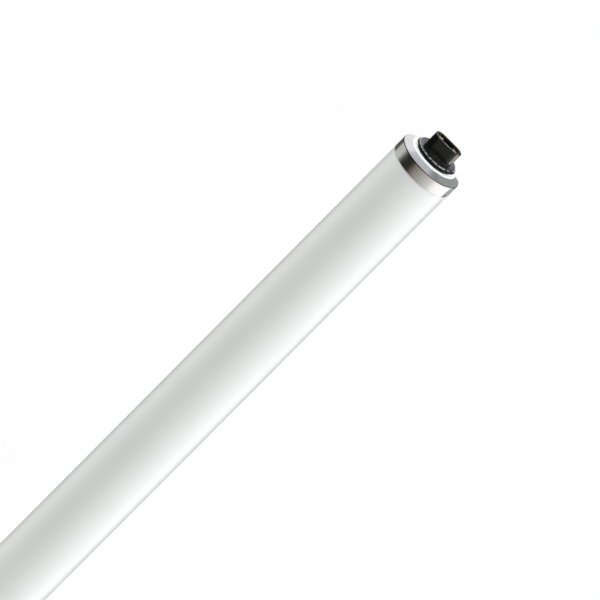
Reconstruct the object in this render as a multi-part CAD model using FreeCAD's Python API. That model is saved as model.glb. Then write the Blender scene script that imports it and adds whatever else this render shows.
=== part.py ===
import FreeCAD, Part
import math
import os

from FreeCAD import Vector

# Straight fluorescent tube with a recessed double contact base at each end. Millimetres.
# The lamp lies along X and the long side of each boss along Y. The origin is the middle of the lamp.

# Whole lamp, measured over the tips of the two bosses
overall_length = 552.5

# Glass bulb: a straight tube drawn in under each cap, with a funnel-shaped stem at each end
tube_diameter = 38.1
shoulder_length = 0.9
glass_end_gap = 2.0
glass_end_cut = 2.4
stem_mouth_diameter = 26.0
stem_depth = 22.0
stem_floor_margin = 0.75
exhaust_diameter = 4.8
exhaust_length = 3.5

# Drawn metal cap: skirt, bevel and a flat face with a round hole
cap_overhang = 0.15
cap_wall = 0.4
cap_bend_radius = 0.4
skirt_length = 7.4
bevel_height = 2.5
face_ring_width = 2.9
hole_clearance = 0.05
neck_clearance = 0.1

# Moulded insulator: a flange behind the cap's face, a round plinth and an oblong boss with a well
plinth_diameter = 26.3
plinth_height = 2.85
plinth_rim_height = 1.45
plinth_rim_projection = 1.5
plinth_rim_cut = 1.1
plinth_roof = 1.45
flange_thickness = 1.8
flange_clearance = 0.5
cavity_width = 11.0
boss_length = 17.8
boss_width = 9.0
boss_height = 8.65
boss_wall = 1.5
boss_rim_cut = 0.3
well_floor = 2.8

# Spring contacts that line the two round ends of the well, each with a tail through the floor
contact_thickness = 0.4
contact_clearance = 0.05
contact_leg = 0.9
contact_setback = 1.7
tail_angle = 50.0
tail_projection = 2.0
slot_clearance = 0.1

# Lead wires from the stem to the contact tails
wire_diameter = 0.6
wire_top_gap = 0.5

# Radii that follow from the sizes above
tube_radius = tube_diameter / 2
cap_radius = tube_radius + cap_overhang
cap_bore_radius = cap_radius - cap_wall
glass_neck_radius = cap_bore_radius - neck_clearance
exhaust_radius = exhaust_diameter / 2
wire_radius = wire_diameter / 2
rim_radius = plinth_diameter / 2
plinth_radius = rim_radius - plinth_rim_projection
hole_radius = plinth_radius + hole_clearance
face_radius = hole_radius + face_ring_width

# Places along the axis of one end, counted outwards from the flat face of its cap
crease_x = -bevel_height
mouth_x = crease_x - skirt_length
flange_x = -cap_wall - flange_thickness
glass_end_x = flange_x - glass_end_gap
stem_floor_x = glass_end_x - stem_depth
roof_x = plinth_height - plinth_roof
well_floor_x = roof_x + well_floor
tip_x = plinth_height + boss_height
contact_top_x = tip_x - contact_setback
tail_x = roof_x - tail_projection
wire_top_x = roof_x - wire_top_gap

# The cap's face stands here on the lamp's axis
face_place = overall_length / 2 - tip_x

# The well, its two contacts and their tails share these centres and radii
well_radius = boss_width / 2 - boss_wall
well_centre = boss_length / 2 - boss_width / 2
contact_outer = well_radius - contact_clearance
contact_inner = contact_outer - contact_thickness

# Each lead wire runs straight up from the stem's floor and along the inside of a contact tail
wire_y = well_centre + contact_inner - wire_radius
stem_floor_radius = wire_y + wire_radius + stem_floor_margin

axis = Vector(1, 0, 0)
origin = Vector(0, 0, 0)


def cut_outline(corners):
    """Closed outline in the XZ plane through (x, r, cut) corners, with a straight cut across each."""
    points = []
    for i in range(len(corners)):
        x, r, cut = corners[i]
        here = Vector(x, 0, r)
        if cut == 0:
            points.append(here)
            continue
        for other in (corners[i - 1], corners[(i + 1) % len(corners)]):
            side = Vector(other[0], 0, other[1]) - here
            points.append(here + side.normalize() * cut)
    points.append(points[0])
    return Part.makePolygon(points)


def turned(corners):
    """Solid turned about the lamp's axis."""
    return Part.Face(cut_outline(corners)).revolve(origin, axis, 360)


def ring_sector(inner, outer, half_angle, low_x, high_x):
    """Slice of a ring about the X axis, centred on +Y."""
    def at(radius, angle):
        return Vector(low_x, radius * math.cos(angle), radius * math.sin(angle))

    outline = Part.Wire([
        Part.Arc(at(outer, -half_angle), at(outer, 0), at(outer, half_angle)).toShape(),
        Part.LineSegment(at(outer, half_angle), at(inner, half_angle)).toShape(),
        Part.Arc(at(inner, half_angle), at(inner, 0), at(inner, -half_angle)).toShape(),
        Part.LineSegment(at(inner, -half_angle), at(outer, -half_angle)).toShape(),
    ])
    return Part.Face(outline).extrude(axis * (high_x - low_x))


def oblong(centre, radius, low_x, high_x):
    """Bar with full-round ends whose centres lie at +centre and -centre along Y."""
    def at(y, z):
        return Vector(low_x, y, z)

    outline = Part.Wire([
        Part.LineSegment(at(-centre, -radius), at(centre, -radius)).toShape(),
        Part.Arc(at(centre, -radius), at(centre + radius, 0), at(centre, radius)).toShape(),
        Part.LineSegment(at(centre, radius), at(-centre, radius)).toShape(),
        Part.Arc(at(-centre, radius), at(-centre - radius, 0), at(-centre, -radius)).toShape(),
    ])
    return Part.Face(outline).extrude(axis * (high_x - low_x))


def edges_in_plane(shape, plane_x):
    """Edges that lie in the plane x = plane_x."""
    near = 1e-4
    found = []
    for edge in shape.Edges:
        box = edge.BoundBox
        if abs(box.XMin - plane_x) < near and abs(box.XMax - plane_x) < near:
            found.append(edge)
    return found


def glass_end():
    """Outline of one end of the bulb, from the tube's wall in to the axis, on the lamp's own X."""
    corners = [
        (mouth_x - shoulder_length, tube_radius, 0),
        (mouth_x, glass_neck_radius, 0),
        (glass_end_x, glass_neck_radius, glass_end_cut),
        (glass_end_x, stem_mouth_diameter / 2, 0),
        (stem_floor_x, stem_floor_radius, 0),
        (stem_floor_x, exhaust_radius, 0),
        (glass_end_x + exhaust_length, exhaust_radius, 0),
        (glass_end_x + exhaust_length, 0, 0),
    ]
    return [(face_place + x, r, cut) for x, r, cut in corners]


def glass_bulb():
    """The sealed bulb, one solid with the same form at both ends."""
    end = glass_end()
    other_end = [(-x, r, cut) for x, r, cut in reversed(end)]
    return turned(end + other_end)


def bevel_angle():
    """Angle that the sheet turns through from the skirt to the bevel."""
    return math.atan2(cap_radius - face_radius, bevel_height)


def inner_face_radius():
    """Where the cap's bevel meets its face on the inside."""
    face_angle = math.pi / 2 - bevel_angle()
    return face_radius - cap_wall * math.tan(face_angle / 2)


def cap_shell():
    """Thin drawn cap: skirt, bend, bevel, bend and a flat face with a hole for the plinth."""
    inner_crease_x = crease_x - cap_wall * math.tan(bevel_angle() / 2)
    outer_bend = cap_bend_radius + cap_wall
    return turned([
        (mouth_x, cap_radius, 0),
        (crease_x, cap_radius, outer_bend * math.tan(bevel_angle() / 2)),
        (0, face_radius, 0),
        (0, hole_radius, 0),
        (-cap_wall, hole_radius, 0),
        (-cap_wall, inner_face_radius(), 0),
        (inner_crease_x, cap_bore_radius, 0),
        (mouth_x, cap_bore_radius, 0),
    ])


def base_insulator():
    """One moulding: flange behind the cap's face, plinth with a rim, boss, well, cavity and tail slots."""
    flange_radius = inner_face_radius() - flange_clearance
    rim_x = plinth_height - plinth_rim_height
    plinth = turned([
        (flange_x, 0, 0),
        (flange_x, flange_radius, 0),
        (-cap_wall, flange_radius, 0),
        (-cap_wall, plinth_radius, 0),
        (rim_x, plinth_radius, 0),
        (rim_x, rim_radius, 0),
        (plinth_height, rim_radius, plinth_rim_cut),
        (plinth_height, 0, 0),
    ])
    boss = oblong(well_centre, boss_width / 2, plinth_height, tip_x)
    rim_cut = min(boss_rim_cut, 0.35 * boss_wall)
    boss = boss.makeChamfer(rim_cut, edges_in_plane(boss, tip_x))
    well = oblong(well_centre, well_radius, well_floor_x, tip_x)
    cavity = oblong(well_centre, cavity_width / 2, flange_x, roof_x)
    moulding = plinth.fuse(boss).cut([well, cavity]).removeSplitter()
    slot = ring_sector(
        contact_inner - slot_clearance,
        contact_outer + slot_clearance,
        math.radians(tail_angle / 2) + slot_clearance / contact_inner,
        roof_x,
        well_floor_x,
    )
    slot.translate(Vector(0, well_centre, 0))
    return moulding.cut([slot, half_turn(slot)])


def contact():
    """Strip bent round one end of the well, with a tail that passes down through the floor."""
    inner = contact_inner
    outer = contact_outer

    def at(y, z):
        return Vector(well_floor_x, y, z)

    outline = Part.Wire([
        Part.LineSegment(at(-contact_leg, -outer), at(0, -outer)).toShape(),
        Part.Arc(at(0, -outer), at(outer, 0), at(0, outer)).toShape(),
        Part.LineSegment(at(0, outer), at(-contact_leg, outer)).toShape(),
        Part.LineSegment(at(-contact_leg, outer), at(-contact_leg, inner)).toShape(),
        Part.LineSegment(at(-contact_leg, inner), at(0, inner)).toShape(),
        Part.Arc(at(0, inner), at(inner, 0), at(0, -inner)).toShape(),
        Part.LineSegment(at(0, -inner), at(-contact_leg, -inner)).toShape(),
        Part.LineSegment(at(-contact_leg, -inner), at(-contact_leg, -outer)).toShape(),
    ])
    strip = Part.Face(outline).extrude(axis * (contact_top_x - well_floor_x))
    tail = ring_sector(inner, outer, math.radians(tail_angle / 2), tail_x, well_floor_x)
    shape = strip.fuse(tail).removeSplitter()
    shape.translate(Vector(0, well_centre, 0))
    return shape


def lead_wire():
    """Bare wire that rises straight from the stem's floor and lies along the inside of a contact tail."""
    foot = Vector(stem_floor_x, wire_y, 0)
    return Part.makeCylinder(wire_radius, wire_top_x - stem_floor_x, foot, axis)


def half_turn(shape):
    """Copy turned half round the lamp's own axis."""
    copy = shape.copy()
    copy.rotate(origin, axis, 180)
    return copy


def placed(shape, end):
    """Piece of one end moved to its place on the lamp: end a at +X, end b turned to -X."""
    copy = shape.copy()
    copy.translate(Vector(face_place, 0, 0))
    if end == "b":
        copy.rotate(origin, Vector(0, 0, 1), 180)
    return copy


end_pieces = {
    "cap_shell": cap_shell(),
    "base_insulator": base_insulator(),
    "contact_1": contact(),
    "contact_2": half_turn(contact()),
    "lead_wire_1": lead_wire(),
    "lead_wire_2": half_turn(lead_wire()),
}

os.makedirs("parts", exist_ok=True)
glass_bulb().exportStep("parts/glass_bulb.step")
for name, piece in end_pieces.items():
    for end in ("a", "b"):
        placed(piece, end).exportStep("parts/" + name + "_" + end + ".step")
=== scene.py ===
import math

import bmesh
import bpy
from mathutils import Matrix, Vector


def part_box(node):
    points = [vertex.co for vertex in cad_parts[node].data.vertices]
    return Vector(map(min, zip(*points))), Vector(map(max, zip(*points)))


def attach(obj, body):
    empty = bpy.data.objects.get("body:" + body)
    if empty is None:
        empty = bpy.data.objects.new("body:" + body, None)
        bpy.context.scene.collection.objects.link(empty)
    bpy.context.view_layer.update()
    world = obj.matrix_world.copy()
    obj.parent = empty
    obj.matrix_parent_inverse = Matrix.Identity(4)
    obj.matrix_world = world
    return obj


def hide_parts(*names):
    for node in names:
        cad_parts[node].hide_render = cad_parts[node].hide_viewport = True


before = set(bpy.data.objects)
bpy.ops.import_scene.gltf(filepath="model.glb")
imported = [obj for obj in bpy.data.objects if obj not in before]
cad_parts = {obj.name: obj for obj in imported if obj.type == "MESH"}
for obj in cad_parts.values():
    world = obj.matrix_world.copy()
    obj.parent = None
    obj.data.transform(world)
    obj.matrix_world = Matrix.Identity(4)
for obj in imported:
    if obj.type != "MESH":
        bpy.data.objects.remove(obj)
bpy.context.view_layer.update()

# straight fluorescent lamp along X, with the same cap, base and contacts at end a (+X) and end b
mm = 0.001
plainWhite = (1.0, 1.0, 1.0)
scene = bpy.context.scene
halfTurn = Matrix.Rotation(math.pi, 4, "Z")  # end a becomes end b

# radii, and places along the axis of end a, read from the solids
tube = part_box("glass_bulb")[1]
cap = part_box("cap_shell_a")
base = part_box("base_insulator_a")
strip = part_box("contact_1_a")
tubeRadius = tube.z
capRadius = cap[1].z
mouthX = cap[0].x
faceX = cap[1].x
tipX = base[1].x

# outlines and meshes
meshing = {
    "arcStep": math.radians(9),
    "fewestSteps": 4,  # on one round
    "weld": 1e-7,
    "sharpAngle": math.radians(32),
}


def rounded(corners):
    # (x, r, fillet, painted edge shading) corners become (x, r, edge) points
    # edge is the painted edge shading at a plain corner, and rises to it in the middle of a fillet
    points = []
    for i, (x, r, fillet, paintedEdge) in enumerate(corners):
        here = Vector((x, r))
        if fillet == 0:
            points.append((x, r, paintedEdge))
            continue
        before = (Vector(corners[i - 1][:2]) - here).normalized()
        after = (Vector(corners[(i + 1) % len(corners)][:2]) - here).normalized()
        half = before.angle(after) / 2
        centre = here + (before + after).normalized() * (fillet / math.sin(half))
        start = here + before * (fillet / math.tan(half)) - centre
        end = here + after * (fillet / math.tan(half)) - centre
        steps = max(meshing["fewestSteps"], math.ceil(start.angle(end) / meshing["arcStep"]))
        for k in range(steps + 1):
            spot = centre + start.normalized().slerp(end.normalized(), k / steps) * fillet
            points.append((spot.x, spot.y, paintedEdge * math.sin(math.pi * k / steps)))
    return points


def joinLoops(bm, loops):
    # a row of quads from each loop to the next
    count = len(loops[0])
    for low, high in zip(loops, loops[1:]):
        for k in range(count):
            n = (k + 1) % count
            bm.faces.new((low[k], low[n], high[n], high[k]))


def ringsAt(centre, points):
    return [(x, centre, r, edge) for x, r, edge in points]


def ringMesh(rings, steps, closed=False):
    # rings are (x, centre, radius, edge): round with centre 0, otherwise oblong along Y
    bm = bmesh.new()
    # per-vertex strength of the painted edge shade and highlight
    edgeLayer = bm.verts.layers.float.new("edgeShading")
    loops = []
    for x, centre, radius, edge in rings:
        loop = []
        for side, first in ((1, -math.pi / 2), (-1, math.pi / 2)):
            for k in range(steps + 1):
                angle = first + math.pi * k / steps
                y = side * centre + radius * math.cos(angle)
                vert = bm.verts.new((x, y, radius * math.sin(angle)))
                vert[edgeLayer] = edge
                loop.append(vert)
        loops.append(loop)
    joinLoops(bm, loops + loops[:1] if closed else loops)
    bmesh.ops.remove_doubles(bm, verts=bm.verts, dist=meshing["weld"])
    return bm


def addPiece(name, bm, material, node, end="a"):
    bmesh.ops.recalc_face_normals(bm, faces=bm.faces)
    mesh = bpy.data.meshes.new(name)
    bm.to_mesh(mesh)
    bm.free()
    if end == "b":
        mesh.transform(halfTurn)
    mesh.shade_smooth()
    mesh.set_sharp_from_angle(angle=meshing["sharpAngle"])
    mesh.materials.append(material)
    piece = bpy.data.objects.new(name, mesh)
    scene.collection.objects.link(piece)
    weighted = piece.modifiers.new("evenShading", "WEIGHTED_NORMAL")
    weighted.keep_sharp = True
    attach(piece, "root")
    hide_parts(node)
    return piece


# shader helpers
def feed(tree, socket, value):
    # a socket takes a link from another socket, a colour or a number
    if isinstance(value, bpy.types.NodeSocket):
        tree.links.new(value, socket)
    elif isinstance(value, tuple):
        socket.default_value = (*value, 1.0)
    else:
        socket.default_value = value


def newGroup(name, inputs, outputs):
    tree = bpy.data.node_groups.new(name, "ShaderNodeTree")
    for label, value in inputs.items():
        socket = tree.interface.new_socket(label, in_out="INPUT", socket_type="NodeSocketFloat")
        socket.default_value = value
    for label in outputs:
        tree.interface.new_socket(label, in_out="OUTPUT", socket_type="NodeSocketFloat")
    given = tree.nodes.new("NodeGroupInput").outputs
    result = tree.nodes.new("NodeGroupOutput").inputs
    return tree, given, result


def useGroup(tree, group, **values):
    node = tree.nodes.new("ShaderNodeGroup")
    node.node_tree = group
    for label, value in values.items():
        node.inputs[label].default_value = value
    return node.outputs


def mathNode(tree, operation, *values):
    node = tree.nodes.new("ShaderNodeMath")
    node.operation = operation
    for socket, value in zip(node.inputs, values):
        feed(tree, socket, value)
    return node.outputs[0]


def rangeNode(tree, value, old=(0.0, 1.0), new=(0.0, 1.0)):
    node = tree.nodes.new("ShaderNodeMapRange")
    for socket, entry in zip(node.inputs, (value, *old, *new)):
        feed(tree, socket, entry)
    return node.outputs[0]


def noiseNode(tree, place, scale, detail, roughness=0.5):
    node = tree.nodes.new("ShaderNodeTexNoise")
    given = {"Vector": place, "Scale": scale, "Detail": detail, "Roughness": roughness}
    for label, value in given.items():
        feed(tree, node.inputs[label], value)
    return node.outputs["Fac"]


def objectPlace(tree):
    return tree.nodes.new("ShaderNodeTexCoord").outputs["Object"]


def splitPlace(tree, place):
    node = tree.nodes.new("ShaderNodeSeparateXYZ")
    feed(tree, node.inputs[0], place)
    return node.outputs


def fromMiddle(tree):
    # distance along the axis, alike at both ends
    return mathNode(tree, "ABSOLUTE", splitPlace(tree, objectPlace(tree))["X"])


def mixed(tree, factor, first, second, blend="MIX"):
    node = tree.nodes.new("ShaderNodeMix")
    node.data_type = "RGBA"
    node.blend_type = blend
    for label, value in {"Factor": factor, "A": first, "B": second}.items():
        feed(tree, node.inputs[label], value)
    return node.outputs["Result"]


def tinted(tree, color, tone):
    return mixed(tree, 1.0, color, tone, "MULTIPLY")


def bumped(tree, shader, height, strength, depth):
    node = tree.nodes.new("ShaderNodeBump")
    for label, value in {"Strength": strength, "Distance": depth, "Height": height}.items():
        feed(tree, node.inputs[label], value)
    feed(tree, shader.inputs["Normal"], node.outputs["Normal"])


# cloudy unevenness of a surface: a tone about 1 and a mask of its patches
cloudNoise = {"detail": 4.0, "range": (0.3, 0.7)}


def makeCloudiness():
    tree, given, result = newGroup("cloudiness", {"Scale": 60.0, "Spread": 0.02}, ["Tone", "Patch"])
    cloud = noiseNode(tree, objectPlace(tree), given["Scale"], cloudNoise["detail"])
    patch = rangeNode(tree, cloud, cloudNoise["range"])
    offset = mathNode(tree, "MULTIPLY", mathNode(tree, "SUBTRACT", patch, 0.5), given["Spread"])
    feed(tree, result["Tone"], mathNode(tree, "ADD", offset, 1.0))
    feed(tree, result["Patch"], patch)
    return tree


# fine lines that run round the lamp's axis, as left by drawing and spinning
lineNoise = {"scale": 1.0, "detail": 3.0, "roughness": 0.6, "range": (0.3, 0.7)}


def makeTurnedLines():
    noise = lineNoise
    tree, given, result = newGroup("turnedLines", {"Pitch": 2500.0, "Waver": 3.0}, ["Line"])
    place = splitPlace(tree, objectPlace(tree))
    across = mathNode(tree, "MULTIPLY", place["Y"], place["Y"])
    upward = mathNode(tree, "MULTIPLY", place["Z"], place["Z"])
    radius = mathNode(tree, "SQRT", mathNode(tree, "ADD", across, upward))
    turn = mathNode(tree, "ARCTAN2", place["Y"], place["Z"])
    lines = tree.nodes.new("ShaderNodeCombineXYZ")
    stretched = {"X": (place["X"], "Pitch"), "Y": (radius, "Pitch"), "Z": (turn, "Waver")}
    for label, (value, factor) in stretched.items():
        feed(tree, lines.inputs[label], mathNode(tree, "MULTIPLY", value, given[factor]))
    line = noiseNode(tree, lines.outputs[0], noise["scale"], noise["detail"], noise["roughness"])
    feed(tree, result["Line"], line)
    return tree


# painted shade and painted highlight along edges, from the values that the meshes carry there: dark
# lines at the caps' bend and lip, light lines at the moulding's rim and boss tip
edgeShadingNoise = {"detail": 3.0, "range": (0.3, 0.6)}


def makeRubbedEdge():
    inputs = {"Amount": 1.0, "Grain": 900.0, "Least": 0.35}
    tree, given, result = newGroup("paintedEdgeShading", inputs, ["Rub"])
    edge = tree.nodes.new("ShaderNodeAttribute")
    edge.attribute_name = "edgeShading"
    grain = noiseNode(tree, objectPlace(tree), given["Grain"], edgeShadingNoise["detail"])
    grain = rangeNode(tree, grain, edgeShadingNoise["range"], (given["Least"], 1.0))
    paintedMask = mathNode(tree, "MULTIPLY", edge.outputs["Fac"], grain)
    feed(tree, result["Rub"], mathNode(tree, "MULTIPLY", paintedMask, given["Amount"]))
    return tree


cloudiness = makeCloudiness()
turnedLines = makeTurnedLines()
paintedEdgeShading = makeRubbedEdge()


# materials: each roughness runs from the smoothest to the dullest places
def startMaterial(name, color, metallic):
    material = bpy.data.materials.new(name)
    material.use_nodes = True
    tree = material.node_tree
    shader = tree.nodes["Principled BSDF"]
    feed(tree, shader.inputs["Base Color"], color)
    feed(tree, shader.inputs["Metallic"], metallic)
    return material, tree, shader


# white coated glass
glassLook = {
    "color": (0.89, 0.90, 0.885),
    "ior": 1.5,
    "roughness": (0.05, 0.10),
    "cloudScale": 35.0,
    "cloudSpread": 0.016,
    "rippleScale": 22.0,
    "rippleDetail": 1.0,
    "rippleStrength": 0.25,
    "rippleDepth": 0.04 * mm,
}


def makeGlassMaterial():
    look = glassLook
    material, tree, shader = startMaterial("coatedGlass", look["color"], 0.0)
    cloud = useGroup(tree, cloudiness, Scale=look["cloudScale"], Spread=look["cloudSpread"])
    feed(tree, shader.inputs["Base Color"], tinted(tree, look["color"], cloud["Tone"]))
    feed(tree, shader.inputs["Roughness"], rangeNode(tree, cloud["Patch"], new=look["roughness"]))
    shader.inputs["IOR"].default_value = look["ior"]
    ripple = noiseNode(tree, objectPlace(tree), look["rippleScale"], look["rippleDetail"])
    bumped(tree, shader, ripple, look["rippleStrength"], look["rippleDepth"])
    return material


# bright drawn metal of the caps; the flat face is white and nearly non-metal, a painted highlight
# standing in for the bright sheen of its metal
capLook = {
    "color": (0.83, 0.82, 0.81),
    "roughness": (0.13, 0.22),
    "cloudScale": 140.0,
    "cloudSpread": 0.05,
    "pitch": 2600.0,
    "waver": 2.5,
    "lineStrength": 0.35,
    "lineDepth": 0.004 * mm,
    # painted shade: dark colour and strength of the lines painted along the bend and the mouth lip
    "tarnishAndShade": (0.115, 0.112, 0.108),
    "edgeShadeAmount": 1.7,
    # painted highlight: the white, nearly non-metal colour of the flat face
    "face": (0.95, 0.95, 0.95),
    "faceMetallic": 0.1,
    "faceRoughness": 0.5,
    "faceDepth": (0.15 * mm, 0.05 * mm),  # the white face fades in over this much of the bend
}


def makeCapMaterial():
    look = capLook
    material, tree, shader = startMaterial("capMetal", look["color"], 1.0)
    cloud = useGroup(tree, cloudiness, Scale=look["cloudScale"], Spread=look["cloudSpread"])
    line = useGroup(tree, turnedLines, Pitch=look["pitch"], Waver=look["waver"])["Line"]
    # painted shade: a dark line along the bend below the bevel and along the mouth lip, broken up by
    # grain
    bend = useGroup(tree, paintedEdgeShading, Amount=look["edgeShadeAmount"])["Rub"]
    first, last = look["faceDepth"]
    onFace = rangeNode(tree, fromMiddle(tree), (faceX - first, faceX - last))
    sheet = mixed(tree, bend, tinted(tree, look["color"], cloud["Tone"]), look["tarnishAndShade"])
    paintedBrightFace = tinted(tree, look["face"], cloud["Tone"])
    polish = rangeNode(tree, line, lineNoise["range"], look["roughness"])
    roughness = rangeNode(tree, onFace, new=(polish, look["faceRoughness"]))
    metallic = rangeNode(tree, onFace, new=(1.0, look["faceMetallic"]))
    feed(tree, shader.inputs["Base Color"], mixed(tree, onFace, sheet, paintedBrightFace))
    feed(tree, shader.inputs["Roughness"], roughness)
    feed(tree, shader.inputs["Metallic"], metallic)
    bumped(tree, shader, line, look["lineStrength"], look["lineDepth"])
    return material


# black moulding of the base
mouldingLook = {
    "color": (0.0052, 0.0060, 0.0051),
    # painted highlight: the light grey put on the plinth rim's upper edge and the boss tip's outer
    # edge for their highlight lines
    "highlightGrey": (0.42, 0.425, 0.44),
    "highlightAmount": 1.75,
    "highlightGrain": 560.0,
    "highlightLeast": -0.6,  # below zero leaves gaps in the painted highlight line
    "roughness": (0.17, 0.27),
    "cloudScale": 220.0,
    "ior": 1.20,
    "coatIor": 1.44,
    "coatRoughness": 0.2,
    "coatHeight": (1.9 * mm, 2.6 * mm),  # the gloss fades in over this stretch of the plinth's rim
    "peelScale": 900.0,
    "peelDetail": 2.0,
    "peelStrength": 0.3,
    "peelDepth": 0.02 * mm,
}


def makeMouldingMaterial():
    look = mouldingLook
    material, tree, shader = startMaterial("blackMoulding", look["color"], 0.0)
    cloud = useGroup(tree, cloudiness, Scale=look["cloudScale"])
    paintedEdge = {"Amount": look["highlightAmount"], "Grain": look["highlightGrain"], "Least": look["highlightLeast"]}
    paintedMask = useGroup(tree, paintedEdgeShading, **paintedEdge)["Rub"]
    # painted highlight: light grey lines along the rim and boss tip edges
    feed(tree, shader.inputs["Base Color"], mixed(tree, paintedMask, look["color"], look["highlightGrey"]))
    feed(tree, shader.inputs["Roughness"], rangeNode(tree, cloud["Patch"], new=look["roughness"]))
    first, last = look["coatHeight"]
    gloss = rangeNode(tree, fromMiddle(tree), (faceX + first, faceX + last))
    feed(tree, shader.inputs["Coat Weight"], gloss)
    shader.inputs["IOR"].default_value = look["ior"]
    shader.inputs["Coat IOR"].default_value = look["coatIor"]
    shader.inputs["Coat Roughness"].default_value = look["coatRoughness"]
    peel = noiseNode(tree, objectPlace(tree), look["peelScale"], look["peelDetail"])
    bumped(tree, shader, peel, look["peelStrength"], look["peelDepth"])
    return material


# brass strip of the contacts
brassLook = {
    "color": (1.0, 0.84, 0.38),
    "metallic": 0.15,
    "roughness": (0.22, 0.38),
    "cloudScale": 420.0,
    "pitch": 5000.0,
    "waver": 2.0,
    "tarnishAndShade": (0.80, 0.58, 0.24),
    "tarnishPatch": (0.55, 1.0),  # part of the cloud mask that is tarnished
    "tarnishMost": 0.5,
}


def makeBrassMaterial():
    look = brassLook
    material, tree, shader = startMaterial("contactBrass", look["color"], look["metallic"])
    cloud = useGroup(tree, cloudiness, Scale=look["cloudScale"])
    line = useGroup(tree, turnedLines, Pitch=look["pitch"], Waver=look["waver"])["Line"]
    stain = rangeNode(tree, cloud["Patch"], look["tarnishPatch"], (0.0, look["tarnishMost"]))
    polish = rangeNode(tree, line, lineNoise["range"], look["roughness"])
    feed(tree, shader.inputs["Base Color"], mixed(tree, stain, look["color"], look["tarnishAndShade"]))
    feed(tree, shader.inputs["Roughness"], polish)
    return material


# drawn lead wire, inside the base
wireLook = {
    "color": (0.62, 0.60, 0.57),
    "roughness": (0.25, 0.45),
    "cloudScale": 500.0,
    "cloudSpread": 0.12,
}


def makeWireMaterial():
    look = wireLook
    material, tree, shader = startMaterial("leadWire", look["color"], 1.0)
    cloud = useGroup(tree, cloudiness, Scale=look["cloudScale"], Spread=look["cloudSpread"])
    feed(tree, shader.inputs["Base Color"], tinted(tree, look["color"], cloud["Tone"]))
    feed(tree, shader.inputs["Roughness"], rangeNode(tree, cloud["Patch"], new=look["roughness"]))
    return material


glassMaterial = makeGlassMaterial()
capMaterial = makeCapMaterial()
mouldingMaterial = makeMouldingMaterial()
brassMaterial = makeBrassMaterial()
wireMaterial = makeWireMaterial()
print("materials: %d" % len(bpy.data.materials))

# glass bulb: the tube, its shoulders under the caps and the closed ends
glass = {
    "steps": 128,
    "bays": 24,
    "bayReach": 0.98,  # of the way to the shoulders
    "shoulder": 0.9 * mm,
    "neckDrop": 0.35 * mm,
    "shoulderRound": 0.5 * mm,
    "endRound": 2.4 * mm,
    "endSet": 4.2 * mm,  # behind the cap's face
}


def makeGlass():
    neck = tubeRadius - glass["neckDrop"]
    shoulderX = mouthX - glass["shoulder"]
    endX = faceX - glass["endSet"]
    end = rounded([
        (0, tubeRadius, 0, 0),
        (shoulderX, tubeRadius, glass["shoulderRound"], 0),
        (mouthX, neck, 0, 0),
        (endX, neck, glass["endRound"], 0),
        (endX, 0, 0, 0),
    ])[1:]
    bays = glass["bays"]
    bayPlaces = [shoulderX * (2 * k / bays - 1) * glass["bayReach"] for k in range(bays + 1)]
    points = [(-x, r, edge) for x, r, edge in reversed(end)]
    points += [(x, tubeRadius, 0.0) for x in bayPlaces]
    points += end
    bm = ringMesh(ringsAt(0.0, points), glass["steps"])
    addPiece("glassTube", bm, glassMaterial, "glass_bulb")


# drawn cap: skirt, bend, bevel, bend and flat face with the plinth's hole
capShape = {
    "steps": 128,
    "wall": 0.4 * mm,
    "bend": 0.8 * mm,
    "faceBend": 0.5 * mm,
    "bevel": 2.5 * mm,
    "faceRing": 14.6 * mm,
    "hole": 11.7 * mm,
    "lip": 0.15 * mm,
    "mouthLip": 0.25 * mm,
    # painted shade strength at the bend and at the mouth lip
    "bendShade": 1.0,
    "lipShade": 0.7,
}


def makeCap(end):
    shape = capShape
    wall = shape["wall"]
    creaseX = faceX - shape["bevel"]
    slope = math.atan2(capRadius - shape["faceRing"], shape["bevel"])
    innerCreaseX = creaseX - wall * math.tan(slope / 2)
    innerFace = shape["faceRing"] - wall * math.tan((math.pi / 2 - slope) / 2)
    outline = rounded([
        (mouthX, capRadius, shape["mouthLip"], shape["lipShade"]),
        (creaseX, capRadius, shape["bend"], shape["bendShade"]),
        (faceX, shape["faceRing"], shape["faceBend"], 0),
        (faceX, shape["hole"], shape["lip"], 0),
        (faceX - wall, shape["hole"], 0, 0),
        (faceX - wall, innerFace, 0, 0),
        (innerCreaseX, capRadius - wall, shape["bend"] - wall, 0),
        (mouthX, capRadius - wall, 0, 0),
    ])
    bm = ringMesh(ringsAt(0.0, outline), shape["steps"], closed=True)
    addPiece("metalCap_" + end, bm, capMaterial, "cap_shell_" + end, end)


# moulded base: flange, round plinth with a rim, oblong boss and its well
moulding = {
    "steps": 96,
    "flange": 14.0 * mm,
    "flangeThick": 1.8 * mm,
    "neck": 11.65 * mm,
    "rim": 13.15 * mm,
    "rimHeight": 1.45 * mm,
    "rimCut": 1.1 * mm,
    "rimRound": 0.2 * mm,
    "rimTopRound": 0.3 * mm,
    "plinthTop": 2.85 * mm,
    "bossRadius": 4.5 * mm,
    "bossCentre": 4.4 * mm,
    "rootRound": 0.4 * mm,
    "tipRound": 0.2 * mm,
    "wellRadius": 3.0 * mm,
    "wellFloor": 4.2 * mm,
    "cavityRadius": 5.5 * mm,
    "roof": 1.4 * mm,
    "floorRound": 0.2 * mm,
    # painted highlight strengths: the rim's upper edge and, below, the boss tip's outer edge
    "rimHighlight": 0.72,
    "rimHighlightPart": 0.3,  # of the cut, from its upper edge
    "rimFadePart": 0.2,  # of the cut, below the highlighted part
    "tipHighlight": 0.2,
}


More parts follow.
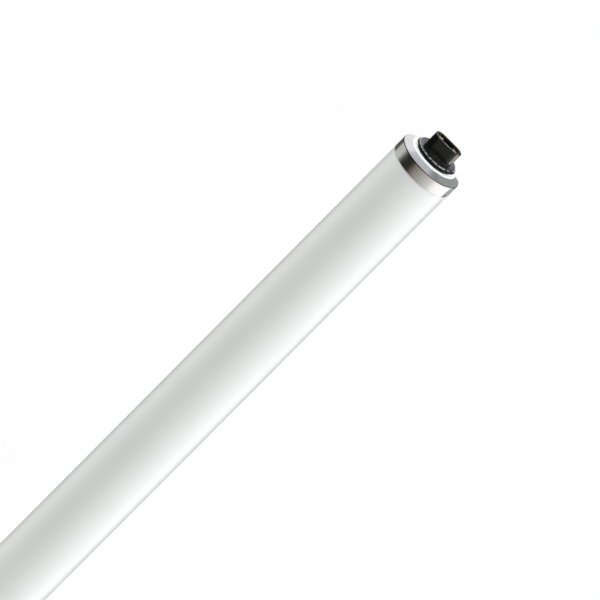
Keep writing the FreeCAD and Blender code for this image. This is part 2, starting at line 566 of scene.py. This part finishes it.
def makeMoulding(end):
    shape = moulding
    centre = shape["bossCentre"]
    topX = faceX + shape["plinthTop"]
    flangeX = faceX - capShape["wall"]
    backX = flangeX - shape["flangeThick"]
    roofX = faceX + shape["roof"]
    wellFloorX = faceX + shape["wellFloor"]
    rimX = topX - shape["rimHeight"]
    cut = shape["rimCut"]
    highlightPart = shape["rimHighlightPart"]
    # painted highlight along the rim's upper edge, fading in from below
    highlightCut = [(highlightPart + shape["rimFadePart"], 0), (highlightPart, shape["rimHighlight"])]
    plinth = rounded([
        (backX, shape["flange"], 0, 0),
        (flangeX, shape["flange"], 0, 0),
        (flangeX, shape["neck"], 0, 0),
        (rimX, shape["neck"], 0, 0),
        (rimX, shape["rim"], shape["rimRound"], 0),
        (topX - cut, shape["rim"], shape["rimRound"], 0),
        *[(topX - cut * part, shape["rim"] - cut * (1 - part), 0, paintedEdge) for part, paintedEdge in highlightCut],
        (topX, shape["rim"] - cut, shape["rimTopRound"], shape["rimHighlight"]),
        (topX, shape["bossRadius"], 0, 0),
    ])[:-1]
    boss = rounded([
        (topX, shape["rim"], 0, 0),
        (topX, shape["bossRadius"], shape["rootRound"], 0),
        (tipX, shape["bossRadius"], shape["tipRound"], shape["tipHighlight"]),
        (tipX, shape["wellRadius"], shape["tipRound"], 0),
        (wellFloorX, shape["wellRadius"], shape["floorRound"], 0),
        (wellFloorX, 0, 0, 0),
    ])[1:]
    cavity = [(roofX, 0, 0), (roofX, shape["cavityRadius"], 0), (backX, shape["cavityRadius"], 0)]
    rings = ringsAt(centre, cavity) + ringsAt(0.0, plinth) + ringsAt(centre, boss)
    bm = ringMesh(rings, shape["steps"])
    node = "base_insulator_" + end
    piece = addPiece("mouldedBase_" + end, bm, mouldingMaterial, node, end)
    piece.visible_shadow = False  # the soft end light reaches the cap's face under the rim


# contact strips that line the ends of the well, each with its tail
contactShape = {
    "thick": 0.4 * mm,
    "leg": 0.9 * mm,
    "topRound": 0.15 * mm,
    "tailAngle": math.radians(50),
    "arcSteps": 40,
}


def sweptStrip(bm, stations, section):
    loops = []
    for place, outward in stations:
        loops.append([bm.verts.new((x, *(place + outward * offset))) for x, offset in section])
    joinLoops(bm, loops)
    bm.faces.new(loops[0])
    bm.faces.new(reversed(loops[-1]))


def makeContact(number, end):
    shape = contactShape
    centre = moulding["bossCentre"]
    outer = strip[1].y - centre
    inner = outer - shape["thick"]
    floorX = faceX + moulding["wellFloor"]

    def arc(half):
        angles = [half * (2 * k / shape["arcSteps"] - 1) for k in range(shape["arcSteps"] + 1)]
        return [(Vector((centre, 0)), Vector((math.cos(a), math.sin(a)))) for a in angles]

    bend = arc(math.pi / 2)
    leg = Vector((-shape["leg"], 0))
    stations = [(bend[0][0] + leg, bend[0][1])] + bend + [(bend[-1][0] + leg, bend[-1][1])]
    band = rounded([
        (floorX, inner, 0, 0),
        (strip[1].x, inner, shape["topRound"], 0),
        (strip[1].x, outer, shape["topRound"], 0),
        (floorX, outer, 0, 0),
    ])
    tail = [(strip[0].x, inner), (floorX, inner), (floorX, outer), (strip[0].x, outer)]
    bm = bmesh.new()
    sweptStrip(bm, stations, [point[:2] for point in band])
    sweptStrip(bm, arc(shape["tailAngle"] / 2), tail)
    if number == 2:
        bmesh.ops.rotate(bm, verts=bm.verts, matrix=Matrix.Rotation(math.pi, 3, "X"))
    place = "%d_%s" % (number, end)
    addPiece("brassContact_" + place, bm, brassMaterial, "contact_" + place, end)


makeGlass()
for end in "ab":
    makeCap(end)
    makeMoulding(end)
    for number in (1, 2):
        makeContact(number, end)
        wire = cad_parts["lead_wire_%d_%s" % (number, end)]
        wire.data.materials.clear()
        wire.data.materials.append(wireMaterial)


# floor and reflector cards
def emptyMaterial(name):
    material = bpy.data.materials.new(name)
    material.use_nodes = True
    material.node_tree.nodes.clear()
    return material, material.node_tree


def addSheet(name, corners, material):
    mesh = bpy.data.meshes.new(name)
    mesh.from_pydata(corners, [], [(0, 1, 2, 3)])
    mesh.materials.append(material)
    sheet = bpy.data.objects.new(name, mesh)
    scene.collection.objects.link(sheet)
    return sheet


# pale floor: seenGlow is for the camera and reflections, glow for the light that it gives back
floorLook = {"size": 60.0, "color": (0.25, 0.25, 0.25), "glow": 0.48, "seenGlow": 0.84}


def makeFloor():
    material, tree = emptyMaterial("paleFloor")
    shade = tree.nodes.new("ShaderNodeBsdfDiffuse")
    feed(tree, shade.inputs["Color"], floorLook["color"])
    path = tree.nodes.new("ShaderNodeLightPath").outputs
    seen = mathNode(tree, "MAXIMUM", path["Is Camera Ray"], path["Is Glossy Ray"])
    seen = mathNode(tree, "MAXIMUM", seen, path["Is Transmission Ray"])
    strength = rangeNode(tree, seen, new=(floorLook["glow"], floorLook["seenGlow"]))
    glow = tree.nodes.new("ShaderNodeEmission")
    feed(tree, glow.inputs["Strength"], strength)
    both = tree.nodes.new("ShaderNodeAddShader")
    feed(tree, both.inputs[0], shade.outputs[0])
    feed(tree, both.inputs[1], glow.outputs[0])
    feed(tree, tree.nodes.new("ShaderNodeOutputMaterial").inputs["Surface"], both.outputs[0])
    half = floorLook["size"] / 2
    corners = [(x * half, y * half, -capRadius) for x, y in ((-1, -1), (1, -1), (1, 1), (-1, 1))]
    floor = addSheet("floor", corners, material)


makeFloor()

# reflector cards beside the lamp and round end a, seen only in reflections: spans in mm
cardFloor = (-19.0, -19.0)
cards = {
    "leftGrey": {"x": (-1500, 262), "y": (54, 2500), "z": cardFloor, "color": (0.54, 0.54, 0.51)},
    "leftDark": {"x": (-330, 262), "y": (24, 54), "z": cardFloor, "color": (0.09, 0.088, 0.084)},
    "rightWhite": {"x": (-1500, 262), "y": (-2500, -55), "z": cardFloor, "color": (1.25, 1.24, 1.23)},
    "rightSliver": {"x": (243, 262), "y": (-55, -20), "z": cardFloor, "color": (0.40, 0.43, 0.44)},
    "rightShade": {"x": (-330, 243), "y": (-55, -20), "z": cardFloor, "color": (0.05, 0.052, 0.05)},
    "frontRight": {"x": (262, 340), "y": (-220, -19), "z": cardFloor, "color": (0.33, 0.345, 0.35)},
    "frontDark": {"x": (340, 520), "y": (-220, -29), "z": cardFloor, "color": (0.225, 0.235, 0.23)},
    "frontFar": {"x": (340, 900), "y": (-29, 400), "z": cardFloor, "color": (0.49, 0.52, 0.55)},
    "frontBlend": {"x": (322, 340), "y": (-19, 70), "z": cardFloor, "color": (0.56, 0.59, 0.61)},
    "frontLeft": {"x": (262, 322), "y": (18, 70), "z": cardFloor, "color": (0.86, 0.87, 0.90)},
    "sideLeft": {"x": (268, 275), "y": (0, 18), "z": cardFloor, "color": (0.62, 0.60, 0.62)},
    "sideRight": {"x": (268, 275), "y": (-19, 0), "z": cardFloor, "color": (0.74, 0.76, 0.84)},
    "nearLeft": {"x": (275, 279), "y": (0, 18), "z": cardFloor, "color": (1.15, 1.1, 1.2)},
    "nearRight": {"x": (275, 279), "y": (-19, 0), "z": cardFloor, "color": (0.22, 0.21, 0.22)},
    "frontTip": {"x": (279, 290), "y": (-19, 18), "z": cardFloor, "color": (0.12, 0.12, 0.12)},
    "rimLine": {"x": (290, 322), "y": (-9, 18), "z": cardFloor, "color": (8.0, 8.2, 8.6)},
    "bossShade": {"x": (267.8, 276), "y": (9.6, 9.6), "z": (-6, 5), "color": (0.03, 0.03, 0.03)},
    "warmTop": {"x": (254, 268), "y": (-45, -45), "z": (16, 30), "color": (1.4, 1.0, 0.78)},
    "warmMiddle": {"x": (254, 268), "y": (-45, -45), "z": (6, 16), "color": (3.0, 2.3, 1.85)},
    "warmLow": {"x": (254, 268), "y": (-45, -45), "z": (-17, 6), "color": (5.3, 4.95, 4.75)},
}


def makeCard(name, span):
    material, tree = emptyMaterial(name)
    glow = tree.nodes.new("ShaderNodeEmission")
    feed(tree, glow.inputs["Color"], span["color"])
    feed(tree, tree.nodes.new("ShaderNodeOutputMaterial").inputs["Surface"], glow.outputs[0])
    corners = []
    for i, k in ((0, 0), (1, 0), (1, 1), (0, 1)):
        corners.append(Vector((span["x"][i], span["y"][k], span["z"][k])) * mm)
    piece = addSheet(name, corners, material)
    piece.visible_camera = False
    piece.visible_diffuse = False
    piece.visible_shadow = False
    piece.visible_transmission = False


for name, span in cards.items():
    makeCard(name, span)

# studio: a world that is white to the camera, even to the surfaces, and graded in reflections
studio = {
    "ambient": 0.306,
    "ambientColor": (0.972, 1.0, 0.966),
    "rampStrength": 1.2,
    "ramp": [  # degrees from overhead, towards -Y when positive
        (-90, (0.36, 0.36, 0.34)),
        (-85, (0.28, 0.275, 0.26)),
        (-76, (0.085, 0.083, 0.074)),
        (-66, (0.026, 0.026, 0.022)),
        (-55, (0.018, 0.019, 0.016)),
        (-40, (0.019, 0.020, 0.016)),
        (-34, (0.045, 0.038, 0.031)),
        (-25, (0.14, 0.115, 0.094)),
        (-14, (0.227, 0.216, 0.188)),
        (0, (0.30, 0.287, 0.264)),
        (44, (0.56, 0.553, 0.54)),
        (55, (0.71, 0.705, 0.695)),
        (65, (0.89, 0.885, 0.88)),
        (77, (0.95, 0.95, 0.945)),
    ],
}


def makeRamp(tree):
    place = splitPlace(tree, tree.nodes.new("ShaderNodeTexCoord").outputs["Generated"])
    side = mathNode(tree, "MULTIPLY", place["Y"], -1.0)
    angle = mathNode(tree, "ARCTAN2", side, place["Z"])
    ramp = tree.nodes.new("ShaderNodeValToRGB")
    feed(tree, ramp.inputs["Fac"], rangeNode(tree, angle, (-math.pi / 2, math.pi / 2)))
    stops = ramp.color_ramp.elements
    while len(stops) < len(studio["ramp"]):
        stops.new(0.5)  # all are moved to their places below
    for stop, (degrees, color) in zip(stops, studio["ramp"]):
        stop.position = degrees / 180 + 0.5
    for stop, (degrees, color) in zip(stops, studio["ramp"]):
        stop.color = (*color, 1.0)
    return ramp.outputs["Color"]


def backgroundNode(tree, color, strength):
    node = tree.nodes.new("ShaderNodeBackground")
    feed(tree, node.inputs["Color"], color)
    feed(tree, node.inputs["Strength"], strength)
    return node.outputs[0]


def choiceNode(tree, mask, plain, masked):
    node = tree.nodes.new("ShaderNodeMixShader")
    for socket, value in zip(node.inputs, (mask, plain, masked)):
        feed(tree, socket, value)
    return node.outputs[0]


def makeWorld():
    world = bpy.data.worlds.new("studio")
    scene.world = world
    world.use_nodes = True
    tree = world.node_tree
    tree.nodes.clear()
    path = tree.nodes.new("ShaderNodeLightPath").outputs
    seen = backgroundNode(tree, plainWhite, 1.0)
    even = backgroundNode(tree, studio["ambientColor"], studio["ambient"])
    reflected = backgroundNode(tree, makeRamp(tree), studio["rampStrength"])
    light = choiceNode(tree, path["Is Glossy Ray"], even, reflected)
    light = choiceNode(tree, path["Is Camera Ray"], light, seen)
    feed(tree, tree.nodes.new("ShaderNodeOutputWorld").inputs["Surface"], light)


makeWorld()

# soft lights from the sides and ends, which shade the surfaces but don't mirror in them
coolWhite = (0.965, 0.963, 1.0)
softLights = {
    "rightLight": {"from": (0.093, -0.966, 0.242), "strength": 2.42, "spread": 50, "color": coolWhite},
    "leftLight": {"from": (0.062, 0.985, 0.162), "strength": 1.38, "spread": 50, "color": coolWhite},
    "topLight": {"from": (0.45, 0.0, 0.89), "strength": 0.2, "spread": 40, "color": plainWhite},
    "endLight_a": {"from": (1.0, 0.0, 0.03), "strength": 3.3, "spread": 20, "color": plainWhite},
    "endLight_b": {"from": (-1.0, 0.0, 0.03), "strength": 3.3, "spread": 20, "color": plainWhite},
}


def makeLight(name, light):
    lamp = bpy.data.lights.new(name, "SUN")
    lamp.energy = light["strength"]
    lamp.color = light["color"]
    lamp.angle = math.radians(light["spread"])
    holder = bpy.data.objects.new(name, lamp)
    holder.rotation_euler = Vector(light["from"]).to_track_quat("Z", "Y").to_euler()
    holder.visible_glossy = False
    scene.collection.objects.link(holder)


for name, light in softLights.items():
    makeLight(name, light)

# camera: long lens, end a tipped towards it and the lamp rising to the right
view = {
    "tip": 21.0,
    "rise": 45.12,
    "target": (154.66 * mm, -2.62 * mm, 0.0),
    "frameWidth": 316.6 * mm,
    "lens": 1000.0,
    "clip": (0.1, 200.0),
}


def makeCamera():
    tip = math.radians(view["tip"])
    rise = math.radians(view["rise"])
    toCamera = Vector((math.sin(tip), 0, math.cos(tip)))
    along = Vector((math.cos(tip), 0, -math.sin(tip)))
    aside = Vector((0, -1, 0))
    right = along * math.cos(rise) + aside * math.sin(rise)
    upward = along * math.sin(rise) - aside * math.cos(rise)
    data = bpy.data.cameras.new("camera")
    data.lens = view["lens"]
    data.clip_start, data.clip_end = view["clip"]
    camera = bpy.data.objects.new("camera", data)
    distance = view["frameWidth"] / data.sensor_width * view["lens"]
    turn = Matrix((right, upward, toCamera)).transposed().to_4x4()
    camera.matrix_world = Matrix.Translation(Vector(view["target"]) + toCamera * distance) @ turn
    scene.collection.objects.link(camera)
    scene.camera = camera


makeCamera()
scene.view_settings.view_transform = "Standard"
print("studio: %d cards, %d lights" % (len(cards), len(softLights)))
